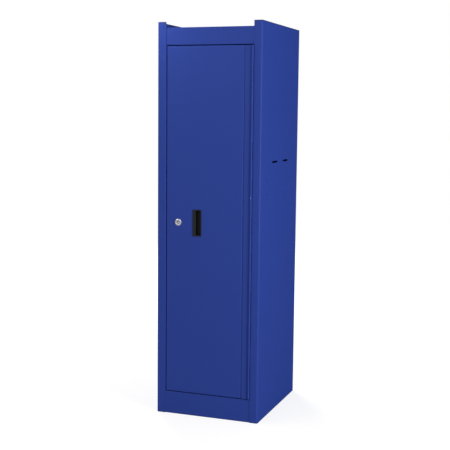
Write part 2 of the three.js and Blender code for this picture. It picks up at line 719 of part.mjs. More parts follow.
function lockPlug() {
  const face = -LOCK_PROUD + PLUG_SINK;
  const core = turned([
    [0, face],
    [0, camNutBack],
    [CAM_STUD / 2, camNutBack],
    [CAM_STUD / 2, collarBack],
    [collarRadius, collarBack],
    [collarRadius, collarFront],
    [plugRadius, collarFront],
    [plugRadius, face],
    [keywayOuter, face],
    [keywayOuter, face + KEYWAY_DEPTH],
    [keywayInner, face + KEYWAY_DEPTH],
    [keywayInner, face],
    [0, face],
  ]);
  const half = CAM_SQUARE / 2;
  return core.add(block([-half, collarBack - PLUG_COLLAR_THICKNESS / 2, -half], [half, camBack, half]));
}

// Cam, hanging down when unlocked. A quarter turn takes its tip behind the stop lip of the latch post.
function lockCam() {
  const reach = lockX - latchStop + CAM_OVERLAP;
  const half = CAM_WIDTH / 2;
  const shape = rectangle(-half, -reach, half, half, half);
  const holeHalf = CAM_SQUARE / 2 + FIT;
  const square = rectangle(-holeHalf, -holeHalf, holeHalf, holeHalf, FIT);
  shape.holes.push(square);
  return alongY(shape, camFront, camBack);
}

function camNut() {
  const ring = hexagon(CAM_STUD + 2 * CAM_NUT_WALL);
  ring.holes.push(disc(0, 0, CAM_STUD + 2 * FIT));
  return alongY(ring, camNutFront, camNutBack, ROUND_SIDES);
}

place(door, 'lock_body', lockBody(), CHROME, lockAt);
place(door, 'lock_nut', lockNut(), ZINC, lockAt);
place(lock, 'lock_plug', lockPlug(), CHROME, lockAt);
place(lock, 'lock_cam', lockCam(), ZINC, lockAt);
place(lock, 'cam_nut', camNut(), ZINC, lockAt);

// Magnets and bumpers on the latch post's stop lip, filling the space behind the closed door.
const padFront = doorBack + FIT;
const padBack = stopFace - FIT;
const padX = latchStop - MAGNET_WIDTH / 2;

function doorMagnet() {
  const half = MAGNET_WIDTH / 2;
  const halfLength = MAGNET_LENGTH / 2;
  return block([-half, padFront, -halfLength], [half, padBack, halfLength]);
}

function doorBumper() {
  return alongY(disc(0, 0, BUMPER_DIAMETER), padFront, padBack, ROUND_SIDES);
}

const padEnds = { upper: (inset) => doorTop - inset, lower: (inset) => doorBottom + inset };
for (const [end, inFrom] of Object.entries(padEnds)) {
  place(cabinet, `door_magnet_${end}`, doorMagnet(), FERRITE, [padX, 0, inFrom(MAGNET_FROM_END)]);
  place(cabinet, `door_bumper_${end}`, doorBumper(), RUBBER, [padX, 0, inFrom(BUMPER_FROM_END)]);
}

door.add(lock);
cabinet.add(door);

export default cabinet;
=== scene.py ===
import json
import math

import bmesh
import bpy
import numpy as np
from mathutils import Matrix, Vector


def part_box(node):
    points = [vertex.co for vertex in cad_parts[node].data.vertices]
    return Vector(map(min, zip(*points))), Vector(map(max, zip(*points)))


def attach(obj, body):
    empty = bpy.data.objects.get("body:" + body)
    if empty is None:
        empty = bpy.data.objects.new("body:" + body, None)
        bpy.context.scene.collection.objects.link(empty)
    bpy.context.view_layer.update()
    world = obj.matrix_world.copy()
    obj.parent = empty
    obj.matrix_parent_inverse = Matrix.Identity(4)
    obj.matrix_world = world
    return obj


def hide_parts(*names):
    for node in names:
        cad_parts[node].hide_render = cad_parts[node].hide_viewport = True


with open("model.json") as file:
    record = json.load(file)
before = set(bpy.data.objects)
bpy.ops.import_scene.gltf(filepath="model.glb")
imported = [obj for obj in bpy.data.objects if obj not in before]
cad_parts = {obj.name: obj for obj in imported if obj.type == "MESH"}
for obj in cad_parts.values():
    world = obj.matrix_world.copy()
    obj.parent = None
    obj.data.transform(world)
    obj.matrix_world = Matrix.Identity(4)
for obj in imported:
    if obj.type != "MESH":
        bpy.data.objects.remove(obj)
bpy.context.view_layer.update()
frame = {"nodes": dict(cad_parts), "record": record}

# Sheet steel, in metres as every length here
SHEET = 0.0012
HALF_SHEET = SHEET / 2
FIT = 0.0003
BEND = 0.0012
CORNER_BEND = 0.0048
FOLD = BEND + SHEET
REAR_FLANGE = 0.016
STOP_LIP = 0.014
HEADER_FLANGE = 0.025
SILL_FLANGE = 0.020
EAR_RADIUS = 0.006
EAR_COLUMNS = EAR_RADIUS * np.array([1, 0.8, 0.6])

# Slots and bolt holes of the side walls
SLOT_LENGTH = 0.070
SLOT_HEIGHT = 0.0075
SLOT_SPACING = 0.145
SLOT_FROM_TOP = 0.548
SIDE_BOLT_HOLE = 0.007
SIDE_BOLT_FROM_FRONT = 0.084
SIDE_BOLT_BELOW_SLOT = 0.071
SIDE_BOLT_SPACING = 0.054

# Door
DOOR_CORNER = 0.0032
DOOR_LIP = 0.014
LEAF_JOGGLE = 0.003
STIFFENER_CROWN = 0.030

# Continuous hinge
HINGE_BARREL = 0.007
HINGE_LEAF = 0.0012
HINGE_GROOVE = 0.004
KNUCKLE_COUNT = 19
KNUCKLE_GAP = 0.0003
KNUCKLE_RELIEF = 0.0006
CURL = math.radians(300)

# Lock
LOCK_BARREL = 0.019
LOCK_WALL = 0.0031
LOCK_CHAMFER = 0.0012
LOCK_ARCH = 0.0009
PLUG_WALL = 0.0012
KEYWAY_WIDTH = 0.0018
KEYWAY_DEPTH = 0.007
PLUG_COLLAR_THICKNESS = 0.001
CAM_SQUARE = 0.008
CAM_STUD = 0.006
KEY_NOTCH = 0.0008
KEY_NOTCH_HALF_ANGLE = math.radians(9)

# Recessed pull
PULL_FLANGE = 0.0024
PULL_WALL = 0.002
PULL_RADIUS = 0.003
PULL_EDGE = 0.0009
PULL_FLOOR_ROUND = 0.002
PULL_GRIP = 0.009
PULL_GRIP_THICKNESS = 0.0034

# Shelves and standards
SHELF_HEM = 0.010
STANDARD_SLOT_WIDTH = 0.005
STANDARD_SLOT_HEIGHT = 0.014
STANDARD_PITCH = 0.050

# How finely the surfaces are drawn
ARC_STEPS = 8
QUARTER_TURN = np.linspace(0, math.pi / 2, ARC_STEPS + 1)
EDGE_BAND = 0.0015
JOGGLE_STEPS = 12
CURL_STEPS = 40
TURN_STEPS = 96
PIN_STEPS = 32
LINE_DIGITS = 8
TINY = 1e-7
MERGE_DISTANCE = 2e-6
SHARP_ANGLE = math.radians(28)

# Places along the sections of the side panels, the front rails and the standards, as folded_line counts them
WALL_RUN = 1.5
FRONT_FOLD = 2
POST_RUN = 2.5
POST_FOLD = 3
RETURN_FOLD = 2
LIP_FOLD = 3
STANDARD_FACE_RUN = 1.5

# Screen colours of 0 to 255
PAINT_BLUE = (40, 61, 139)
# Dark navy of the painted shade along the cut edges and of the painted shadow line beside the hinge seam
EDGE_SHADE = (26, 37, 94)
PULL_BLACK = (30, 32, 35)
FERRITE_BLACK = (52, 52, 55)
RUBBER_BLACK = (28, 28, 29)

# Colours as linear light
PAINT_SHADE = (0.97, 0.975, 0.98, 1)
DUST_GREY = (0.42, 0.43, 0.44, 1)
ZINC = (0.56, 0.58, 0.60, 1)
ZINC_PATCH = (0.44, 0.46, 0.49, 1)
CHROME = (0.36, 0.37, 0.43, 1)
CHROME_PATCH = (0.30, 0.31, 0.36, 1)
PLUG_BRIGHT = (0.60, 0.60, 0.59, 1)
# Two dark tones painted on the plug outside the pin: painted shade of the ring-shaped keyway
KEYWAY_SHADE = (0.10, 0.10, 0.11, 1)
KEYWAY_SHADE_PATCH = (0.06, 0.06, 0.065, 1)

# Paint and lock metal
PAINT_ROUGHNESS = 0.46
PAINT_GLOSS = 0.08
# Width of the painted shade along the top and foot edges
EDGE_SHADE_WIDTH = 0.0045
# Strength and width of the painted shadow line beside the hinge leaf's seam
SEAM_SHADOW = 0.6
SEAM_SHADOW_WIDTH = 0.0035
LOCK_GRAIN = 2400.0

# Camera, with its lens and sensor in millimetres
CAMERA_PLACE = (1.386, -3.8225, 1.234)
CAMERA_HEADING = 20.18
CAMERA_PITCH = -6.64
CAMERA_ROLL = 0.579
CAMERA_LENS = 77.7
CAMERA_SENSOR = 36.0
CAMERA_REACH = 200.0

# Floor, surroundings and light
FLOOR_REACH = 40.0
FLOOR_GREY = (0.40, 0.40, 0.40, 1)
FLOOR_PALE = (0.42, 0.42, 0.42, 1)
FLOOR_FADE = (0.6, 3.0)
FLOOR_GLOW = (0.70, 0.88)
WHITE = (1, 1, 1, 1)
SKY_TINT = (0.97, 0.985, 1, 1)
SKY_LIGHT = 0.32
WARM_LIGHT = (1.0, 0.91, 0.80)

# Dark flag
FLAG_SIDES = (0.2185, 4.0)
FLAG_BACK = 2.0
FLAG_FRONT = -0.8
FLAG_TOP = 3.0
FLAG_LIFT = 0.002
FLAG_CURVE = 0.3
CLOTH_DARK = (0.008, 0.008, 0.009, 1)
CLOTH_PALE = (0.014, 0.014, 0.015, 1)

# Places read from the frame
left_low, left_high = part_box("left_side_panel")
right_low, right_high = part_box("right_side_panel")
header_low, header_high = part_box("header_rail")
skin_low, skin_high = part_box("door_skin")
leaf_low, leaf_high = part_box("hinge_door_leaf")
pin_low, pin_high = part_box("hinge_pin")
lock_low, lock_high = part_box("lock_body")
pull_low, pull_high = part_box("handle_cup")
front, back = left_low.y, left_high.y
half_width, height = right_high.x, left_high.z
shell_middle = (front + back) / 2
latch_edge, hinge_edge = left_high.x - STOP_LIP, right_low.x + STOP_LIP
header_bottom, header_top = header_low.z + STOP_LIP, header_high.z
sill_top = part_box("sill_rail")[1].z - STOP_LIP
rail_face, stop_back = header_low.y, header_high.y
hinge_x, hinge_y = (pin_low.x + pin_high.x) / 2, (pin_low.y + pin_high.y) / 2
lock_x, lock_z = (lock_low.x + lock_high.x) / 2, (lock_low.z + lock_high.z) / 2


# Grids


def grid_lines(*groups):
    """Lines of several groups in order, with equal ones taken once."""
    return np.unique(np.concatenate(groups).round(LINE_DIGITS))


def between(lines):
    """Middle of each step from one line to the next."""
    return (lines[1:] + lines[:-1]) / 2


def cells(grid):
    """The four corners of each cell of a grid, in order round it."""
    return np.stack([grid[:-1, :-1], grid[1:, :-1], grid[1:, 1:], grid[:-1, 1:]], -1)


def every_cell(points):
    """Mask that keeps all cells of a grid of points."""
    return np.ones((points.shape[0] - 1, points.shape[1] - 1), bool)


def numbered(shape):
    """Grid of the numbers of its own points."""
    return np.arange(shape[0] * shape[1]).reshape(shape[:2])


# Folded sheets


def folded_line(corners, bends=None):
    """Middle line of a folded sheet, drawn through its sharp corners. Each inner corner becomes an arc
    whose radius is the inside bend plus half a sheet, with a point a band away on each straight run beside
    it. Gives the points, their left-hand normals, the place of each (k on the arc of corner k, k + 0.5 on
    the run after it), the share of the arc passed, and the developed length."""
    corners = np.asarray(corners, float)
    runs = np.diff(corners, axis=0)
    headings = runs / np.linalg.norm(runs, axis=1)[:, None]
    lefts = np.column_stack([-headings[:, 1], headings[:, 0]])
    points, normals = [corners[:1]], [lefts[:1]]
    places, shares = [[0.5]], [[0.0]]
    for k in range(1, len(corners) - 1):
        before, after = headings[k - 1], headings[k]
        radius = (bends or {}).get(k, BEND) + HALF_SHEET
        turn = math.atan2(before[0] * after[1] - before[1] * after[0], before @ after)
        side = math.copysign(1, turn)
        angles = np.linspace(0, turn, ARC_STEPS + 1)
        x, y = lefts[k - 1]
        arc_normals = np.column_stack([x * np.cos(angles) - y * np.sin(angles),
                                       x * np.sin(angles) + y * np.cos(angles)])
        start = corners[k] - before * radius * math.tan(abs(turn) / 2)
        centre = start + lefts[k - 1] * side * radius
        arc = centre - arc_normals * side * radius
        points += [arc[:1] - before * EDGE_BAND, arc, arc[-1:] + after * EDGE_BAND]
        normals += [arc_normals[:1], arc_normals, arc_normals[-1:]]
        places += [[k - 0.5], [float(k)] * len(angles), [k + 0.5]]
        shares += [[0.0], np.linspace(0, 1, len(angles)), [0.0]]
    points.append(corners[-1:])
    normals.append(lefts[-1:])
    places.append([len(corners) - 1.5])
    shares.append([0.0])
    points = np.concatenate(points)
    steps = np.linalg.norm(np.diff(points, axis=0), axis=1)
    return {"points": points, "normals": np.concatenate(normals), "place": np.concatenate(places),
            "share": np.concatenate(shares), "length": np.concatenate([[0.0], np.cumsum(steps)])}


def with_columns(line, lengths):
    """The same middle line with points added at these developed lengths, by straight interpolation."""
    old = line["length"]
    new = grid_lines(old, lengths)

    def resampled(column):
        return np.interp(new, old, column)

    return {key: np.apply_along_axis(resampled, 0, values) for key, values in line.items()}


def carried(line, stations, axis):
    """Grid of points and normals of a section carried along an axis: along Z the section is drawn in X and
    Y, along X in Y and Z."""
    points, normals = line["points"], line["normals"]
    shape = (len(points), len(stations))
    along = np.broadcast_to(np.asarray(stations, float)[None, :], shape)
    zero = np.zeros(shape)
    u, v = (np.broadcast_to(points[:, k, None], shape) for k in (0, 1))
    nu, nv = (np.broadcast_to(normals[:, k, None], shape) for k in (0, 1))
    if axis == "z":
        return np.stack([u, v, along], 2), np.stack([nu, nv, zero], 2)
    return np.stack([along, u, v], 2), np.stack([zero, nu, nv], 2)


def sheet_faces(points, normals, keep, thickness=SHEET, rim_at_border=True):
    """A sheet on a grid of middle points: every kept cell gives one quad half a thickness out along the
    normals and one half a thickness in, and a rim quad on each side where the next cell isn't kept."""
    near = cells(numbered(points.shape))
    far = near + points.shape[0] * points.shape[1]
    quads = [near[keep], far[keep][:, ::-1]]
    around = np.pad(keep, 1, constant_values=not rim_at_border)
    neighbours = [around[1:-1, :-2], around[2:, 1:-1], around[1:-1, 2:], around[:-2, 1:-1]]
    for first, neighbour in enumerate(neighbours):
        second = (first + 1) % 4
        rim = np.stack([near[..., second], near[..., first], far[..., first], far[..., second]], -1)
        quads.append(rim[keep & ~neighbour])
    offset = normals * thickness / 2
    both_sides = np.concatenate([(points + offset).reshape(-1, 3), (points - offset).reshape(-1, 3)])
    used, quads = np.unique(np.concatenate(quads), return_inverse=True)
    return both_sides[used], [quads.reshape(-1, 4)]


def cut_slot(points, keep, u, v, axes, centre, half_length, radius):
    """Cuts a round-ended slot out of a flat part of a grid. u and v are the grid lines' own coordinates and
    axes their places in a point. The cells inside go, and each grid point on the block's border is pulled
    to a radius from the nearest point of the slot's middle line."""
    du = np.broadcast_to((u - centre[0])[:, None], points.shape[:2])
    dv = np.broadcast_to((v - centre[1])[None, :], points.shape[:2])
    inside = (np.abs(du) <= half_length + radius + TINY) & (np.abs(dv) <= radius + TINY)
    border = inside & ((np.abs(du) >= half_length + radius - TINY) | (np.abs(dv) >= radius - TINY))
    core = np.clip(du, -half_length, half_length)
    stretch = radius / np.maximum(np.hypot(du - core, dv), TINY)
    pulled = centre[0] + core + (du - core) * stretch, centre[1] + dv * stretch
    for axis, place in zip(axes, pulled):
        points[..., axis] = np.where(border, place, points[..., axis])
    keep &= ~cells(inside).all(-1)


def slot_lines(centre, half_length, radius):
    """Grid lines along and across a slot that cut_slot needs."""
    along = np.array([half_length + radius, half_length + radius / 2, half_length, half_length / 2, 0])
    across = np.array([radius, radius / 2, 0])
    return (np.concatenate([centre[0] - along, centre[0] + along]),
            np.concatenate([centre[1] - across, centre[1] + across]))


# Turned and stacked pieces


def band_quads(loops):
    """Quads from each loop of point numbers to the next one, with every loop closed."""
    ahead = np.roll(loops, -1, 1)
    return np.stack([loops[:-1], ahead[:-1], ahead[1:], loops[1:]], -1).reshape(-1, 4)


def turned(profile, centre, axis, steps=TURN_STEPS, swell=None):
    """Surface of revolution: a closed profile of (radius, distance along the axis) swept through a full
    turn. swell adds to the radius as a function of the turn's angle, point by point."""
    profile = np.asarray(profile, float)
    angles = np.linspace(0, 2 * math.pi, steps, endpoint=False)
    radius, along = (np.repeat(profile[:, k, None], steps, 1) for k in (0, 1))
    if swell is not None:
        radius = radius + swell(angles)
    a, b = radius * np.cos(angles), radius * np.sin(angles)
    order = {"y": (a, along, b), "z": (a, b, along)}[axis]
    points = np.stack(order, 2) + np.asarray(centre)
    index = numbered(points.shape)
    return points.reshape(-1, 3), [band_quads(np.concatenate([index, index[:1]]))]


def rounded_loops(left, right, low, high, radius):
    """Rectangles with four corner arcs in X and Z, each as one closed loop of points. The four sides are
    arrays with one number for each rectangle."""
    angle = np.concatenate([QUARTER_TURN + quarter * math.pi / 2 for quarter in (-1, 0, 1, 2)])
    on_right = np.repeat([True, True, False, False], len(QUARTER_TURN))
    on_top = np.repeat([False, True, True, False], len(QUARTER_TURN))
    x = np.where(on_right, right[:, None] - radius, left[:, None] + radius) + radius * np.cos(angle)
    z = np.where(on_top, high[:, None] - radius, low[:, None] + radius) + radius * np.sin(angle)
    return np.stack([x, z], -1)


def stacked_loops(loops, depths):
    """Closed skin through a stack of loops in X and Z, each at its own depth in Y, with the first and the
    last loop filled."""
    x, z = loops[..., 0], loops[..., 1]
    points = np.stack([x, np.broadcast_to(depths[:, None], x.shape), z], -1)
    index = numbered(points.shape)
    return points.reshape(-1, 3), [band_quads(index), index[[0, -1]]]


# Putting a shape into the scene


def finish_piece(name, shapes, body, node, finish=None):
    """Mesh object that stands for a node, from one or more shapes of points and arrays of faces: equal
    points are merged, faces are turned outwards, and edges sharper than a fold's step stay sharp. It takes
    the finish of the node's slot unless another is given."""
    points, faces, count = [], [], 0
    for shape_points, shape_faces in shapes:
        for rows in shape_faces:
            faces += (rows + count).tolist()
        points.append(shape_points)
        count += len(shape_points)
    mesh = bpy.data.meshes.new(name)
    mesh.from_pydata(np.concatenate(points).tolist(), [], faces)
    work = bmesh.new()
    work.from_mesh(mesh)
    bmesh.ops.remove_doubles(work, verts=work.verts, dist=MERGE_DISTANCE)
    bmesh.ops.dissolve_degenerate(work, edges=work.edges, dist=TINY)
    bmesh.ops.recalc_face_normals(work, faces=work.faces)
    work.to_mesh(mesh)
    work.free()
    mesh.shade_smooth()
    mesh.set_sharp_from_angle(angle=SHARP_ANGLE)
    mesh.materials.append(finish or finishes[slot_of[node]])
    piece = bpy.data.objects.new(name, mesh)
    bpy.context.scene.collection.objects.link(piece)
    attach(piece, body)
    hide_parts(node)


# Finishes


def linear(screen_colour):
    """Screen colour of 0 to 255 as linear light."""
    share = np.array(screen_colour) / 255
    light = np.where(share <= 0.04045, share / 12.92, ((share + 0.055) / 1.055) ** 2.4)
    return (*light.tolist(), 1.0)


class Nodes:
    """Shorthand for adding and linking nodes in one tree."""

    def __init__(self, tree):
        self.tree = tree

    def add(self, kind, settings=None, **sockets):
        node = self.tree.nodes.new(kind)
        for name, value in (settings or {}).items():
            setattr(node, name, value)
        for name, value in sockets.items():
            self.set(node, name, value)
        return node

    def set(self, node, socket, value):
        target = node.inputs[socket]
        if isinstance(value, bpy.types.NodeSocket):
            self.tree.links.new(value, target)
        else:
            target.default_value = value

    def filled(self, node, sockets, values):
        for socket, value in zip(sockets, values):
            self.set(node, socket, value)
        return node

    def math(self, operation, first, second=0.0):
        node = self.add("ShaderNodeMath", {"operation": operation})
        return self.filled(node, (0, 1), (first, second)).outputs[0]

    def mix(self, share, first, second, blend="MIX"):
        node = self.add("ShaderNodeMix", {"data_type": "RGBA", "blend_type": blend})
        return self.filled(node, (0, 6, 7), (share, first, second)).outputs[2]

    def span(self, value, low, high, new_low=0.0, new_high=1.0):
        node = self.add("ShaderNodeMapRange", {"clamp": True})
        return self.filled(node, range(5), (value, low, high, new_low, new_high)).outputs[0]

    def noise(self, vector, scale, detail=2.0, roughness=0.5):
        return self.add("ShaderNodeTexNoise", Vector=vector, Scale=scale, Detail=detail,
                        Roughness=roughness).outputs["Fac"]

    def length(self, vector):
        return self.add("ShaderNodeVectorMath", {"operation": "LENGTH"}, Vector=vector).outputs["Value"]

    def place(self, vector):
        return self.add("ShaderNodeSeparateXYZ", Vector=vector).outputs

    def effect(self, tree, **sockets):
        return self.add("ShaderNodeGroup", {"node_tree": tree}, **sockets).outputs

    def bump(self, height, strength, distance):
        return self.add("ShaderNodeBump", Height=height, Strength=strength, Distance=distance).outputs[0]


def new_effect(name, inputs, outputs):
    """Empty shader node group with a Vector and other named sockets: gives its Nodes, its vector, its
    inputs and its output node."""
    tree = bpy.data.node_groups.new(name, "ShaderNodeTree")
    for side, sockets in (("INPUT", ["Vector", *inputs]), ("OUTPUT", outputs)):
        for socket in sockets:
            kind = socket if socket in ("Vector", "Color") else "Float"
            tree.interface.new_socket(socket, in_out=side, socket_type="NodeSocket" + kind)
    made = Nodes(tree)
    given = made.add("NodeGroupInput").outputs
    return made, given["Vector"], given, made.add("NodeGroupOutput")


def powder_skin_effect():
    """Orange peel of a powder coat: fine rounded cells on a slower swell, as a height."""
    made, vector, given, result = new_effect("powder_skin", ["Cells"], ["Height"])
    fine = made.noise(vector, given["Cells"], detail=1.0, roughness=0.35)
    slow_scale = made.math("MULTIPLY", given["Cells"], 0.17)
    swell = made.noise(vector, slow_scale, detail=1.0, roughness=0.4)
    both = made.math("ADD", made.math("MULTIPLY", fine, 0.55), made.math("MULTIPLY", swell, 0.45))
    made.set(result, "Height", both)
    return made.tree


def paint_tone_effect():
    """Slow drift of a painted colour, with fine specks of settled dust and a drift of gloss."""
    made, vector, given, result = new_effect("paint_tone", ["Color", "Dust"], ["Color", "Gloss"])
    drift = made.span(made.noise(vector, 3.5, detail=3.0), 0.3, 0.7)
    darker = made.mix(1.0, given["Color"], PAINT_SHADE, "MULTIPLY")
    toned = made.mix(drift, darker, given["Color"])
    specks = made.span(made.noise(vector, 620.0, roughness=0.6), 0.68, 0.8)
    patches = made.span(made.noise(vector, 14.0, detail=3.0), 0.45, 0.75)
    dust = made.math("MULTIPLY", made.math("MULTIPLY", specks, patches), given["Dust"])
    made.set(result, "Color", made.mix(dust, toned, DUST_GREY))
    smears = made.noise(vector, 22.0, detail=4.0, roughness=0.6)
    smeared = made.span(smears, 0.3, 0.7, -0.03, 0.03)
    made.set(result, "Gloss", made.math("ADD", smeared, made.math("MULTIPLY", dust, 0.3)))
    return made.tree


def metal_grain_effect():
    """Drawn metal: noise stretched along Z for the grain, with cloudy patches of oxide."""
    made, vector, given, result = new_effect("metal_grain", ["Grain"], ["Patch", "Height"])
    stretched = made.add("ShaderNodeMapping", Vector=vector, Scale=(1.0, 1.0, 0.03)).outputs[0]
    made.set(result, "Height", made.noise(stretched, given["Grain"], detail=3.0, roughness=0.6))
    clouds = made.noise(vector, 60.0, detail=4.0, roughness=0.6)
    made.set(result, "Patch", made.span(clouds, 0.3, 0.7))
    return made.tree


def moulded_grain_effect():
    """Spark-eroded mould texture: small pits between rounded cells, with a slow drift of gloss."""
    made, vector, given, result = new_effect("moulded_grain", ["Cells"], ["Height", "Gloss"])
    pits = made.add("ShaderNodeTexVoronoi", {"feature": "SMOOTH_F1"}, Vector=vector, Scale=given["Cells"])
    made.set(result, "Height", pits.outputs["Distance"])
    made.set(result, "Gloss", made.span(made.noise(vector, 90.0, detail=3.0), 0.3, 0.7))
    return made.tree


def cut_edge_effect():
    """Painted shade along the cut edges at the top and the foot of the sheets: the distance to the nearer of
    the two, broken up by noise, fading over a width."""
    made, vector, given, result = new_effect("cut_edge", ["Top", "Width"], ["Mask"])
    above_foot = made.place(vector)["Z"]
    nearest = made.math("MINIMUM", made.math("SUBTRACT", given["Top"], above_foot), above_foot)
    ragged = made.noise(vector, 45.0, detail=4.0, roughness=0.6)
    broken = made.math("MULTIPLY", nearest, made.span(ragged, 0.3, 0.7, 0.7, 1.3))
    made.set(result, "Mask", made.span(broken, 0.0, given["Width"], 1.0, 0.0))
    return made.tree


powder_skin = powder_skin_effect()
paint_tone = paint_tone_effect()
metal_grain = metal_grain_effect()
moulded_grain = moulded_grain_effect()
cut_edge = cut_edge_effect()


def started(name):
    """New material with its Nodes, its shader and the object's own coordinates."""
    material = bpy.data.materials.new(name)
    material.use_nodes = True
    made = Nodes(material.node_tree)
    shader = material.node_tree.nodes["Principled BSDF"]
    return material, made, shader, made.add("ShaderNodeTexCoord").outputs["Object"]


def seam_shadow(made, vector, seam_x):
    """Painted shadow line along a seam that runs up the door's face: it fades over a width, and lies only
    on the outside."""
    place = made.place(vector)
    away = made.math("ABSOLUTE", made.math("SUBTRACT", place["X"], seam_x))
    outside = made.math("LESS_THAN", place["Y"], front + HINGE_LEAF + FIT + HALF_SHEET)
    return made.math("MULTIPLY", made.span(away, 0.0, SEAM_SHADOW_WIDTH, SEAM_SHADOW, 0.0), outside)


def powder_paint(name, seam_x=None):
    """Blue powder coat, with painted shade on the cut edges, and a painted shadow line beside a seam
    where one is given.
    """
    material, made, shader, vector = started(name)
    skin = made.effect(powder_skin, Vector=vector, Cells=420.0)
    tone = made.effect(paint_tone, Vector=vector, Color=linear(PAINT_BLUE), Dust=0.25)
    # Painted shade: a dark navy band along the top and foot edges of the sheets
    painted_shade = made.effect(cut_edge, Vector=vector, Top=height, Width=EDGE_SHADE_WIDTH)["Mask"]
    # Painted shadow line beside the hinge leaf's edge
    if seam_x is not None:
        painted_shade = made.math("MAXIMUM", painted_shade, seam_shadow(made, vector, seam_x))
    # The painted shade and the painted shadow line are mixed into the coat's colour here
    made.set(shader, "Base Color", made.mix(painted_shade, tone["Color"], linear(EDGE_SHADE)))
    made.set(shader, "Roughness", made.math("ADD", tone["Gloss"], PAINT_ROUGHNESS))
    made.set(shader, "Normal", made.bump(skin["Height"], strength=0.12, distance=0.0004))
    made.set(shader, "Specular IOR Level", PAINT_GLOSS)
    return material


def bright_metal(name, colour, patch_colour, roughness, grain, strength):
    """Plated metal with a drawn grain, its colour and its roughness drifting with the oxide's patches."""
    material, made, shader, vector = started(name)
    drawn = made.effect(metal_grain, Vector=vector, Grain=grain)
    made.set(shader, "Base Color", made.mix(drawn["Patch"], colour, patch_colour))
    made.set(shader, "Roughness", made.span(drawn["Patch"], 0, 1, roughness * 0.8, roughness * 1.25))
    made.set(shader, "Normal", made.bump(drawn["Height"], strength, distance=0.0002))
    made.set(shader, "Metallic", 1.0)
    return material


def moulded(name, screen_colour, smoothest, roughest, pit_cells, strength, gloss=0.2):
    """Moulded black plastic, ferrite or rubber with a fine pitted skin and a little dust."""
    material, made, shader, vector = started(name)
    grain = made.effect(moulded_grain, Vector=vector, Cells=pit_cells)
    tone = made.effect(paint_tone, Vector=vector, Color=linear(screen_colour), Dust=0.12)
    made.set(shader, "Base Color", tone["Color"])
    made.set(shader, "Roughness", made.span(grain["Gloss"], 0, 1, smoothest, roughest))
    made.set(shader, "Normal", made.bump(grain["Height"], strength, distance=0.0003))
    made.set(shader, "Specular IOR Level", gloss)
    return material


def plug_metal(pin_radius):
    """Nickelled lock plug: bright on the keyway's pin, and dark further out as painted shade of the keyway.
    """
    material, made, shader, vector = started("plug_nickel")
    drawn = made.effect(metal_grain, Vector=vector, Grain=LOCK_GRAIN)
    across = made.add("ShaderNodeMapping", Vector=vector, Location=(-lock_x, 0, -lock_z), Scale=(1, 0, 1))
    # Painted shade: everything outside the pin is dark, so the keyway ring reads as a deep shadow
    in_keyway_shade = made.span(made.length(across.outputs[0]), pin_radius - FIT, pin_radius)
    keyway_shade = made.mix(drawn["Patch"], KEYWAY_SHADE, KEYWAY_SHADE_PATCH)
    made.set(shader, "Base Color", made.mix(in_keyway_shade, PLUG_BRIGHT, keyway_shade))
    made.set(shader, "Roughness", made.span(in_keyway_shade, 0, 1, 0.2, 0.42))
    made.set(shader, "Normal", made.bump(drawn["Height"], strength=0.05, distance=0.0002))
    made.set(shader, "Metallic", 1.0)
    return material


finishes = {
    "blue_paint": powder_paint("blue_powder_coat"),
    "zinc_steel": bright_metal("zinc_plate", ZINC, ZINC_PATCH, roughness=0.34, grain=900.0, strength=0.1),
    "chrome": bright_metal("lock_chrome", CHROME, CHROME_PATCH, roughness=0.16, grain=LOCK_GRAIN,
                           strength=0.04),
    "black_plastic": moulded("black_pull_plastic", PULL_BLACK, 0.42, 0.54, pit_cells=1900.0, strength=0.25,
                             gloss=0.08),
    "magnet_black": moulded("coated_ferrite", FERRITE_BLACK, 0.6, 0.75, pit_cells=900.0, strength=0.3),
    "rubber_black": moulded("bumper_rubber", RUBBER_BLACK, 0.75, 0.88, pit_cells=1200.0, strength=0.2),
}
# The door's coat carries a painted shadow line beside the hinge leaf's edge
door_paint = powder_paint("door_powder_coat", leaf_low.x)
slot_of = {row["node"]: row["material_slot"] for row in frame["record"]["subparts"]}
for node_name, node_piece in frame["nodes"].items():
    node_piece.data.materials.clear()
    node_piece.data.materials.append(finishes[slot_of[node_name]])


# Cabinet


